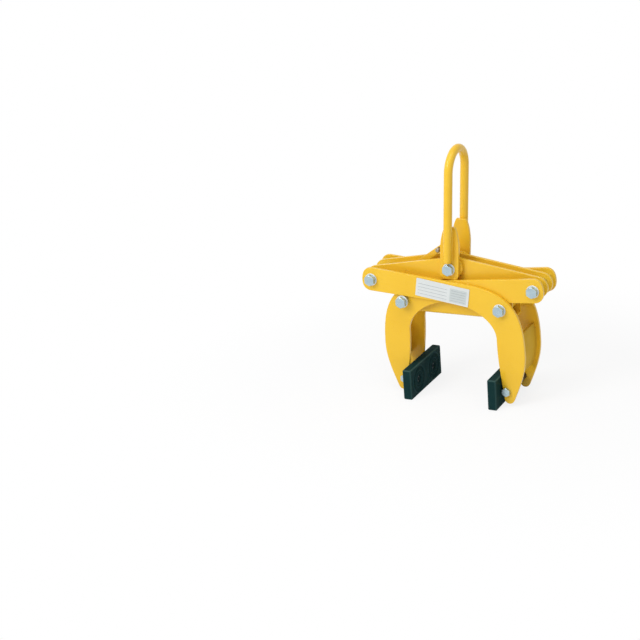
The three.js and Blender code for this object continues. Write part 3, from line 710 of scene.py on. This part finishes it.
def makeBolt(name, node, size, x, z, stackY):
    look = boltLook
    isPivot = size is bolt16  # a pivot bolt has a washer under its head and a flanged nut
    flange = look["flange"] if isPivot else 0
    headSeat = stackY + seatGap + (flange + seatGap if isPivot else 0)
    nutSeat = stackY + seatGap
    hexSeat = nutSeat + flange
    nutEnd = hexSeat + size["nutHeight"]
    tail = nutEnd + size["tail"]
    head = hexagonBlank(size, size["headHeight"], x, z, -headSeat, -1)
    section = shankSection(size, -headSeat - look["shankInHead"], tail, nutEnd - look["threadInNut"])
    bolt = joined([head, turned(section, x, 0, z, "Y", 40)])
    smoothFaces(bolt, 32)
    fitPiece(bolt, name + "Bolt", zinc, [node.format("bolt")])
    nut = hexagonBlank(size, size["nutHeight"], x, z, hexSeat, 1)
    bore, over = size["radius"] + seatGap / 2, look["boreOver"]
    cutAway(nut, turned(rodSection(bore, stackY - over, tail + over), x, 0, z, "Y", 40))
    if isPivot:
        rim, edge, top = look["washerRadius"], look["flangeEdge"], hexSeat + look["flangeSink"]
        foot = [
            (bore, nutSeat), (rim - edge, nutSeat), (rim, nutSeat + edge), (rim, nutSeat + 2 * edge),
            (look["flangeNeck"], top), (bore, top),
        ]
        nut = joined([nut, turned(foot, x, 0, z)])
        face = -stackY - seatGap
        washer = turned(ringSection(rim, size["radius"] + seatGap, face - flange, face), x, 0, z)
        smoothFaces(washer, 32)
        # the washer takes the paler zinc, painted highlight
        fitPiece(washer, name + "Washer", brightZinc, [node.format("washer")])
    smoothFaces(nut, 32)
    fitPiece(nut, name + "Nut", zinc, [node.format("nut")])


for name, node, size, x, z, layer in (
    ("leftShoulder", "shoulder_{}_left", bolt16, -shoulderX, shoulderZ, outerJawLayer),
    ("rightShoulder", "shoulder_{}_right", bolt16, shoulderX, shoulderZ, outerJawLayer),
    ("outerArm", "outer_jaw_arm_{}", bolt16, -armX, armZ, outerJawLayer),
    ("innerArm", "inner_jaw_arm_{}", bolt16, armX, armZ, innerJawLayer),
    ("top", "top_{}", bolt16, topX, topZ, cheekLayer),
    ("outerPad", "outer_jaw_pad_{}", bolt12, padX, padZ, outerJawLayer),
    ("innerPad", "inner_jaw_pad_{}", bolt12, -padX, padZ, innerJawLayer),
):
    makeBolt(name, node, size, x, z, layer[1])
print("bolts, nuts and washers made")

# Spacers on the arm bolts, the top sleeve and the stop rings
sleeveLook = {"spacerRadius": 14, "collarRadius": 13, "edge": 0.7}


def makeSleeve(name, node, finish, outer, near, far, x, z):
    sleeve = turned(ringSection(outer, bore16, near, far, sleeveLook["edge"]), x, 0, z)
    smoothFaces(sleeve, 32)
    fitPiece(sleeve, name, finish, [node])


for name, node, x, jawLayer, linkLayer in (
    ("outerJaw", "outer_jaw", -armX, outerJawLayer, leftLinkLayer),
    ("innerJaw", "inner_jaw", armX, innerJawLayer, rightLinkLayer),
):
    spacing = (
        ("Front", seatGap - jawLayer[0], -linkLayer[1] - seatGap),
        ("Middle", seatGap - linkLayer[0], linkLayer[0] - seatGap),
        ("Rear", linkLayer[1] + seatGap, jawLayer[0] - seatGap),
    )
    for label, near, far in spacing:
        makeSleeve(
            name + "Spacer" + label, node + "_spacer_" + label.lower(), zinc, sleeveLook["spacerRadius"],
            near, far, x, armZ,
        )
topSleeveEnd = cheekLayer[0] - seatGap
makeSleeve("topSleeve", "top_sleeve", zinc, sleeveRadius, -topSleeveEnd, topSleeveEnd, topX, topZ)
for label, inward in (("Front", -1), ("Rear", 1)):
    node = "stop_ring_" + label.lower()
    lowest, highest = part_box(node)
    makeSleeve(
        "stopRing" + label, node, zinc, (highest[0] - lowest[0]) / 2 / mm,
        lowest[1] / mm, highest[1] / mm, shoulderX, shoulderZ,
    )
collarEnds = (innerJawLayer[1] + seatGap, outerJawLayer[1])
for label, near, far in (("Front", -collarEnds[1], -collarEnds[0]), ("Rear", *collarEnds)):
    makeSleeve(
        "shoulderCollar" + label, "shoulder_collar_" + label.lower(), zinc, sleeveLook["collarRadius"],
        near, far, -shoulderX, shoulderZ,
    )
print("sleeves made")

# Label plate along the front arm, bare of lettering
labelLook = {
    "middle": (-18, 269.25), "length": 133, "height": 44, "near": -58.3, "far": -57.3, "tilt": 8.3,
    "cornerRadius": 2, "edge": 0.25, "panel": (19, 61, -18, 15), "panelRise": 0.06,
    "ruleLine": 0.8, "ruleRise": 0.12, "inkSink": 0.1, "inkEdge": 0.02,
    # left end, right end and heights of the ruled lines
    "rules": ((-61, 12, (9, 1, -7, -15)), (22, 58, (9.5, 3.5, -2.5, -8.5, -14.5))),
}


def labelPiece(corners, near, far, edge):
    outline = placedKnots(roundedKnots(corners), *labelLook["middle"], labelLook["tilt"])
    piece = cutPlate(outline, [], near, far, edge, 6)
    smoothFaces(piece)
    return piece


def makeLabel():
    look = labelLook
    length, height, radius = look["length"] / 2, look["height"] / 2, look["cornerRadius"]
    plate = boxCorners(-length, length, -height, height, radius)
    label = labelPiece(plate, look["near"], look["far"], look["edge"])
    fitPiece(label, "labelPlate", labelFilm, ["label_plate"])
    # a tinted panel and ruled lines of a blank data plate
    body = bodyOfNode["label_plate"]
    panel = boxCorners(*look["panel"], 0)
    front, back, inkEdge = look["near"], look["near"] + look["inkSink"], look["inkEdge"]
    fitPiece(labelPiece(panel, front - look["panelRise"], back, inkEdge), "labelPanel", labelTint, [], body)
    rules = []
    for left, right, heights in look["rules"]:
        for low in heights:
            rule = boxCorners(left, right, low, low + look["ruleLine"], 0)
            rules.append(labelPiece(rule, front - look["ruleRise"], back, inkEdge))
    fitPiece(joined(rules), "labelRules", labelInk, [], body)


makeLabel()

# Latch: hooked plate with its hub, thumb pin, pivot pin and the stud that it catches
latchLook = {
    "thickness": 10, "slope": 35, "endRadius": 9.5, "barWidth": 14, "bend": 64,
    "noseWidth": 5.8, "noseOffset": 3.6, "noseClear": 2.5, "noseLength": 9, "headHeight": 13,
    "heelRun": 1.5, "throatRadius": 6, "noseBack": 2, "noseTip": 1.2, "headRadius": 5, "neckRadius": 8,
    "hubRadius": 9, "hubSink": 0.5, "edge": 0.8, "pinEdge": 0.7,
    "gripRadius": 5, "gripLength": 36, "gripRun": 75, "gripRise": 55.6, "gripEdge": 1.4,
}


def makeLatch():
    look = latchLook
    slope = radians(look["slope"])
    along = Vector((cos(slope), sin(slope)))
    up = Vector((-along.y, along.x))
    noseLeft = topX - look["noseOffset"]
    noseRight = noseLeft + look["noseWidth"]
    noseFoot = topZ + linkLook["studReach"] + studRadius + look["noseClear"]
    throatZ = noseFoot + look["noseLength"]
    headZ = throatZ + look["headHeight"]
    bend = Vector((look["bend"], look["bend"] * tan(slope)))
    upperEnd = latchPivot + bend + up * look["endRadius"]
    upperCorner = upperEnd + along * ((headZ - upperEnd.y) / along.y)
    lower = latchPivot + up * (look["endRadius"] - look["barWidth"])
    lowerEnd = lower + along * ((throatZ - lower.y) / along.y)
    heel = arcKnots(latchPivot, look["endRadius"], slope + pi / 2, slope + 1.5 * pi)
    heelEnd = lower + along * look["heelRun"]
    corners = roundedKnots([
        (*heelEnd, 0), (*lowerEnd, look["throatRadius"]), (noseLeft, throatZ, look["noseBack"]),
        (noseLeft, noseFoot, look["noseTip"]), (noseRight, noseFoot, look["noseTip"]),
        (noseRight, headZ, look["headRadius"]), (*upperCorner, look["neckRadius"]), (*upperEnd, 0),
    ])
    half = look["thickness"] / 2
    grip = Vector((latchPivot.x + look["gripRun"], latchPivot.y + look["gripRise"]))
    holes = [
        holeKnots(*latchPivot, latchBore),
        holeKnots(*grip, look["gripRadius"] + boreClearance),
    ]
    hook = cutPlate([*heel, *corners], holes, -half, half, look["edge"])
    hubs = []
    hubEnd = leftLinkLayer[0] - seatGap
    hubFoot = half - look["hubSink"]
    for near, far in ((-hubEnd, -hubFoot), (hubFoot, hubEnd)):
        section = ringSection(look["hubRadius"], latchBore, near, far)
        hubs.append(turned(section, latchPivot.x, 0, latchPivot.y))
    hook = joined([hook, *hubs])
    smoothFaces(hook, 34)
    fitPiece(hook, "latchHook", powderCoat, ["latch_hook"])
    gripEnd = look["gripLength"] / 2
    for name, node, place, radius, end, edge, finish in (
        ("latchGrip", "latch_grip", grip, look["gripRadius"], gripEnd, look["gripEdge"], pinSteel),
        ("latchPin", "latch_pin", latchPivot, latchPinRadius, leftLinkLayer[1], look["pinEdge"], powderCoat),
        ("catchStud", "catch_stud", studPlace, studRadius, rightLinkLayer[1], look["pinEdge"], pinSteel),
    ):
        pin = turned(rodSection(radius, -end, end, edge), place.x, 0, place.y, "Y", 40)
        smoothFaces(pin, 34)
        fitPiece(pin, name, finish, [node])


makeLatch()
print("label and latch made")

# Bail: bent round bar welded to two cheeks, which hang on the top bolt
bailLook = {
    "barRadius": 10, "height": 287.5, "lean": 3.6, "legFoot": 17.5, "footRounding": 7,
    "width": 46, "foot": 25, "top": 102, "taperStart": 53, "topWidth": 24,
    "neckShare": 0.818, "neckRise": 0.633, "cornerRadius": 13, "edge": 0.9,
    "legSteps": 24, "bendSteps": 48, "footSteps": 5, "footShare": 0.55,
    "beadRadius": 3.4, "beadAcross": 0.72, "beadOut": 1.6, "beadRise": 2, "beadStep": 3, "beadShort": 4,
}


def leaned(x, y, z):
    turn = radians(bailLook["lean"])
    return Vector((
        topX + x * cos(turn) + z * sin(turn), y, topZ - x * sin(turn) + z * cos(turn),
    ))


def cheekKnots():
    look = bailLook
    half, halfTop = look["width"] / 2, look["topWidth"] / 2
    foot, top, start = -look["foot"], look["top"], look["taperStart"]
    neck = Vector((halfTop + (half - halfTop) * look["neckShare"], start + (top - start) * look["neckRise"]))
    corner = look["cornerRadius"]
    third = 2 / 3
    taperFoot, taperTop = Vector((half, start)), Vector((halfTop, top))
    low, side = Vector((half - corner, foot)), Vector((half, foot + corner))
    point = Vector((half, foot))
    right = [
        [low, None, low.lerp(point, third)], [side, side.lerp(point, third), None],
        [taperFoot, None, taperFoot.lerp(neck, third)], [taperTop, taperTop.lerp(neck, third), None],
    ]
    mirror = Vector((-1, 1))
    left = []
    for place, before, after in reversed(right):
        left.append([p if p is None else p * mirror for p in (place, after, before)])
    return right + left


def makeBail():
    look = bailLook
    radius, foot = look["barRadius"], look["legFoot"]
    legY = cheekLayer[1] + radius
    springing = look["height"] - radius - legY
    legSteps, bendSteps, footSteps = look["legSteps"], look["bendSteps"], look["footSteps"]
    leg = springing - foot
    angles = [pi * i / bendSteps for i in range(1, bendSteps + 1)]
    stations = [leaned(0, -legY, foot + leg * i / legSteps) for i in range(1, legSteps + 1)]
    stations += [leaned(0, -legY * cos(angle), springing + legY * sin(angle)) for angle in angles]
    stations += [leaned(0, legY, springing - leg * i / legSteps) for i in range(1, legSteps)]
    rounding, tip = look["footRounding"], look["footShare"]
    ends = [rounding * (1 - cos(pi / 2 * i / footSteps)) for i in range(footSteps + 1)]
    lower = [leaned(0, -legY, foot + end) for end in ends]
    other = [leaned(0, legY, foot + end) for end in reversed(ends)]
    shares = [sqrt(max(0, 1 - (1 - end / rounding) ** 2)) * (1 - tip) + tip for end in ends]
    shares = shares + [1] * len(stations) + shares[::-1]
    bar = pipeAlong(lower + stations + other, shares, radius, 8, 50)
    beads = []
    beadY, beadFoot = cheekLayer[1] + look["beadOut"], foot + look["beadRise"]
    rises = range(0, int(look["top"] - foot) - look["beadShort"], look["beadStep"])
    for side in (-1, 1):
        for across in (-1, 1):
            x = across * radius * look["beadAcross"]
            trail = [leaned(x, side * beadY, beadFoot + rise) for rise in rises]
            beads.append(weldBead(trail, look["beadRadius"]))
    fitPiece(joined([bar, *beads]), "bailBar", powderCoat, ["bail_bar"])
    outline = placedKnots(cheekKnots(), topX, topZ, look["lean"])
    hole = holeKnots(topX, topZ, bore16)
    platePair("bailCheek{}", "bail_cheek_{}", outline, [hole], cheekLayer, look["edge"])


makeBail()
print("bail made")

# Pads: rubber block with two ringed discs, steel carrier behind it and two screws
padLook = {
    "length": 180, "height": 75, "thickness": 22, "faceX": 96.5, "edge": 3, "discPitch": 88,
    # rubbed wear and painted highlight on the pad's rounded edges: strength on upward and other edges, and
    # the rim it covers
    "topWear": 1, "sideWear": 0.5, "wearRim": 1.3, "flatShare": 0.995, "upwardShare": 0.2,
    "grooves": ((30, 3, 1.5), (24.5, 1.6, 1), (18, 3, 1.5), (12.8, 1.6, 1)),  # outer radius, width, depth
    "grooveWall": 0.6, "grooveFloor": (0.3, 0.7), "overcut": 1,
    "ridges": ((35, 2.6), (21.5, 2), (15.4, 1.6)), "ridgeRise": 0.6, "ridgeSink": 0.2,  # outer radius, width
    "crest": (0.25, 0.75), "sinkRadius": 9.3, "sinkDepth": 9.3,
    "carrierThickness": 6, "carrierLength": 150, "carrierHeight": 56, "carrierEdge": 1, "tubeRadius": 11,
    "earThickness": 8, "earPitch": 56, "earHeight": 34, "earEdge": 0.8, "earClearance": 1,
    "beadRadius": 2, "beadStart": 2, "beadStep": 3, "beadLift": 0.4,
    "screwHead": 9, "screwRadius": 5, "headDepth": 2, "screwShort": 0.5,
    "headProfile": ((2, 0), (0.7, 0.5), (0, 1.6), (0, 4)),  # inset from its radius, depth from its top
    "socketRadius": 4.6, "socketDepth": 5,
}
padBackX = padLook["faceX"] + padLook["thickness"]
discPlaces = (-padLook["discPitch"] / 2, padLook["discPitch"] / 2)


def blockPiece(x0, x1, y0, y1, z0, z1):
    block = newPiece(
        bpy.ops.mesh.primitive_cube_add, size=mm, location=Vector((x0 + x1, y0 + y1, z0 + z1)) * mm / 2,
        scale=(x1 - x0, y1 - y0, z1 - z0),
    )
    setPlace(block)
    return block


def makeRubber():
    look = padLook
    faceX, half, overcut = look["faceX"], look["length"] / 2, look["overcut"]
    block = blockPiece(faceX, padBackX, -half, half, 0, look["height"])
    bevelEdges(block, look["edge"], 4)
    pocketX = padBackX - (look["carrierThickness"] + seatGap)
    alongY, alongZ = look["carrierLength"] / 2 + seatGap, look["carrierHeight"] / 2 + seatGap
    end = padBackX + 2 * overcut
    cutAway(block, blockPiece(pocketX, end, -alongY, alongY, padZ - alongZ, padZ + alongZ))
    near, far = look["grooveFloor"]
    for y in discPlaces:
        for outer, width, depth in look["grooves"]:
            wallX = faceX + depth * look["grooveWall"]
            section = [
                (outer - width, faceX - overcut), (outer, faceX - overcut), (outer, wallX),
                (outer - width * near, faceX + depth), (outer - width * far, faceX + depth),
                (outer - width, wallX),
            ]
            cutAway(block, turned(section, 0, y, padZ, "X", 72))
        sinkEnd, shankRadius = faceX + look["sinkDepth"], look["screwRadius"] + boreClearance
        sink = [
            (0, faceX - overcut), (look["sinkRadius"], faceX - overcut), (look["sinkRadius"], sinkEnd),
            (shankRadius, sinkEnd), (shankRadius, padBackX + overcut), (0, padBackX + overcut),
        ]
        cutAway(block, turned(sink, 0, y, padZ, "X", 48))
    return block


# Marks the rounded outer edges of a rubber block as rubbed and lit: rubbed wear and a painted highlight,
# stronger on edges facing up
def markWear(block):
    look = padLook
    wear = block.data.attributes.new("wear", "FLOAT", "CORNER")
    rim = look["edge"] * look["wearRim"]
    for face in block.data.polygons:
        isRounded = max(abs(part) for part in face.normal) < look["flatShare"]
        y, z = abs(face.center.y) / mm, face.center.z / mm
        isOuter = y > look["length"] / 2 - rim or z < rim or z > look["height"] - rim
        rubbingAndHighlight = look["topWear"] if face.normal.z > look["upwardShare"] else look["sideWear"]
        for corner in face.loop_indices:
            wear.data[corner].value = rubbingAndHighlight if isRounded and isOuter else 0


def makeRidges():
    look = padLook
    footX, crestX = look["faceX"] + look["ridgeSink"], look["faceX"] - look["ridgeRise"]
    near, far = look["crest"]
    ridges = []
    for y in discPlaces:
        for outer, width in look["ridges"]:
            section = [
                (outer - width, footX), (outer, footX),
                (outer - width * near, crestX), (outer - width * far, crestX),
            ]
            ridges.append(turned(section, 0, y, padZ, "X", 72))
    return joined(ridges)


def makeBacking():
    look = padLook
    alongY, alongZ = look["carrierLength"] / 2, look["carrierHeight"] / 2
    frontX = padBackX - look["carrierThickness"]
    backing = blockPiece(frontX, padBackX, -alongY, alongY, padZ - alongZ, padZ + alongZ)
    bevelEdges(backing, look["carrierEdge"])
    return backing


def makeEars(tubeEnd):
    look = padLook
    parts = []
    middleX, rise = padBackX - look["carrierThickness"] / 2, look["earHeight"] / 2
    ear = [
        [Vector((middleX, padZ - rise)), None, None],
        *arcKnots(Vector((padX, padZ)), look["tubeRadius"], -pi / 3, pi / 3),
        [Vector((middleX, padZ + rise)), None, None],
    ]
    hole = holeKnots(padX, padZ, bore12 + look["earClearance"])
    beadX, beadFoot = padBackX + look["beadLift"], padZ - rise + look["beadStart"]
    heights = range(0, look["earHeight"] - look["beadStep"], look["beadStep"])
    for y in (-look["earPitch"] / 2, look["earPitch"] / 2):
        faces = (y - look["earThickness"] / 2, y + look["earThickness"] / 2)
        parts.append(cutPlate(ear, [hole], *faces, look["earEdge"], 8))
        for faceY in faces:
            trail = [Vector((beadX, faceY, beadFoot + height)) for height in heights]
            parts.append(weldBead(trail, look["beadRadius"]))
    section = ringSection(look["tubeRadius"], bore12, -tubeEnd, tubeEnd, look["earEdge"])
    parts.append(turned(section, padX, 0, padZ))
    return joined(parts)


def makeScrew(y):
    look = padLook
    headX, endX = look["faceX"] + look["headDepth"], padBackX - look["screwShort"]
    head, shank = look["screwHead"], look["screwRadius"]
    section = [(0, headX), *((head - inset, headX + depth) for inset, depth in look["headProfile"])]
    section += [(shank, section[-1][1]), (shank, endX), (0, endX)]
    screw = turned(section, 0, y, padZ, "X", 48)
    socket = newPiece(
        bpy.ops.mesh.primitive_cylinder_add, vertices=6, radius=look["socketRadius"] * mm,
        depth=look["socketDepth"] * mm, location=Vector((headX, y, padZ)) * mm, rotation=(0, pi / 2, 0),
    )
    setPlace(socket)
    cutAway(screw, socket)
    return screw


def makePad(side, label, tubeEnd):
    # the ears' dark brown is painted shade
    # the ridges' lighter rubber is a painted highlight
    for piece, name, ending, finish, node in (
        (makeRubber(), "rubberPad", "", rubber, "rubber_pad_" + label),
        (makeRidges(), "padRidges", "", wornRubber, "rubber_pad_" + label),
        (makeEars(tubeEnd), "padEars", "", padSteel, "pad_carrier_" + label),
        (makeBacking(), "padBacking", "", rubber, "pad_carrier_" + label),
        (makeScrew(discPlaces[0]), "padScrew", "A", screwSteel, "pad_screw_" + label + "_a"),
        (makeScrew(discPlaces[1]), "padScrew", "B", screwSteel, "pad_screw_" + label + "_b"),
    ):
        if side < 0:
            piece.rotation_euler = (0, 0, pi)
            setPlace(piece)
        smoothFaces(piece, 34)
        if name == "rubberPad":
            # rubbed wear and painted highlight on its rounded edges
            markWear(piece)
        fitPiece(piece, name + label.title() + ending, finish, [node])


makePad(1, "right", outerJawLayer[0] - seatGap)
makePad(-1, "left", innerJawLayer[0] - seatGap)
print("pads made")

# Pale floor that keeps the shadow, white behind, and soft plain light
studio = {
    "floorSize": 30, "floorColour": (0.94, 0.94, 0.94, 1), "floorWhite": 0.83,
    "whiteFrom": 0.4, "whiteTo": 0.9, "skyStrength": 0.52, "skyColour": (0.97, 0.98, 1, 1),
    "aim": (0, 0, 0.25),
    "lamps": (
        ("keyLamp", (-1.6, -3.0, 2.5), 1.8, 66),
        ("topLamp", (0.2, -1.0, 2.9), 2.0, 27),
    ),  # name, place, size and power
}


# 1 where the camera sees a surface, also mirrored or through glass
def addSeenShare(owner):
    path = addNode(owner, "ShaderNodeLightPath")
    either = addNode(owner, "ShaderNodeMath", operation="MAXIMUM")
    both = addNode(owner, "ShaderNodeMath", operation="MAXIMUM")
    join(path, "Is Camera Ray", either, 0)
    join(path, "Is Glossy Ray", either, 1)
    join(either, 0, both, 0)
    join(path, "Is Transmission Ray", both, 1)
    return both


def makeFloor():
    look = studio
    floor = newPiece(bpy.ops.mesh.primitive_plane_add, size=look["floorSize"])
    floor.name = "studioFloor"
    paper = bpy.data.materials.new("studioPaper")
    paper.use_nodes = True
    nodes = paper.node_tree.nodes
    shader = nodes["Principled BSDF"]
    shader.inputs["Base Color"].default_value = look["floorColour"]
    shader.inputs["Roughness"].default_value = 1
    shader.inputs["Specular IOR Level"].default_value = 0
    # where it is seen the floor is nearly white, and quite white away from the object
    place = addNode(paper, "ShaderNodeTexCoord")
    away = addNode(paper, "ShaderNodeVectorMath", operation="LENGTH")
    fade = addNode(paper, "ShaderNodeMapRange", {
        "From Min": look["whiteFrom"], "From Max": look["whiteTo"],
        "To Min": look["floorWhite"], "To Max": 1,
    }, interpolation_type="SMOOTHSTEP")
    share = addNode(paper, "ShaderNodeMath", operation="MULTIPLY")
    white = addNode(paper, "ShaderNodeEmission", {"Strength": 1})
    mix = addNode(paper, "ShaderNodeMixShader")
    join(place, "Object", away, 0)
    join(away, "Value", fade, "Value")
    join(fade, "Result", share, 0)
    join(addSeenShare(paper), 0, share, 1)
    join(share, 0, mix, 0)
    join(shader, 0, mix, 1)
    join(white, 0, mix, 2)
    join(mix, 0, nodes["Material Output"], "Surface")
    floor.data.materials.append(paper)


def makeLight():
    look = studio
    world = bpy.data.worlds.new("studioSky")
    bpy.context.scene.world = world
    world.use_nodes = True
    nodes = world.node_tree.nodes
    sky = nodes["Background"]
    sky.inputs["Color"].default_value = look["skyColour"]
    sky.inputs["Strength"].default_value = look["skyStrength"]
    behind = addNode(world, "ShaderNodeBackground", {"Color": (1, 1, 1, 1)})
    mix = addNode(world, "ShaderNodeMixShader")
    join(addSeenShare(world), 0, mix, 0)
    join(sky, 0, mix, 1)
    join(behind, 0, mix, 2)
    join(mix, 0, nodes["World Output"], "Surface")
    for name, place, size, power in look["lamps"]:
        aim = (Vector(look["aim"]) - Vector(place)).to_track_quat("-Z", "Y").to_euler()
        lamp = newPiece(bpy.ops.object.light_add, type="AREA", location=place, rotation=aim)
        lamp.name = name
        lamp.data.size = size
        lamp.data.energy = power


makeFloor()
makeLight()

# Camera where the photograph was taken from
cameraView = {
    "azimuth": 29.529, "elevation": 19.634, "roll": -4.92, "distance": 3.242504, "lens": 77.398,
    "aimZ": 0.2375, "shiftRight": -0.331853, "shiftUp": -0.023442, "sensor": 36, "clipEnd": 50,
}


def makeCamera():
    look = cameraView
    azimuth, elevation = radians(look["azimuth"]), radians(look["elevation"])
    back = Vector((
        sin(azimuth) * cos(elevation), -cos(azimuth) * cos(elevation),
        sin(elevation),
    ))
    right = Vector((cos(azimuth), sin(azimuth), 0))
    up = back.cross(right)
    place = Vector((0, 0, look["aimZ"])) + back * look["distance"]
    place += right * look["shiftRight"] + up * look["shiftUp"]
    camera = newPiece(bpy.ops.object.camera_add, location=place)
    turn = Matrix((right, up, back)).transposed() @ Matrix.Rotation(radians(look["roll"]), 3, "Z")
    camera.rotation_euler = turn.to_euler()
    camera.data.lens = look["lens"]
    camera.data.sensor_width = look["sensor"]
    camera.data.clip_end = look["clipEnd"]
    bpy.context.scene.camera = camera


makeCamera()
bpy.context.scene.view_settings.view_transform = "Standard"
print("studio and camera made")
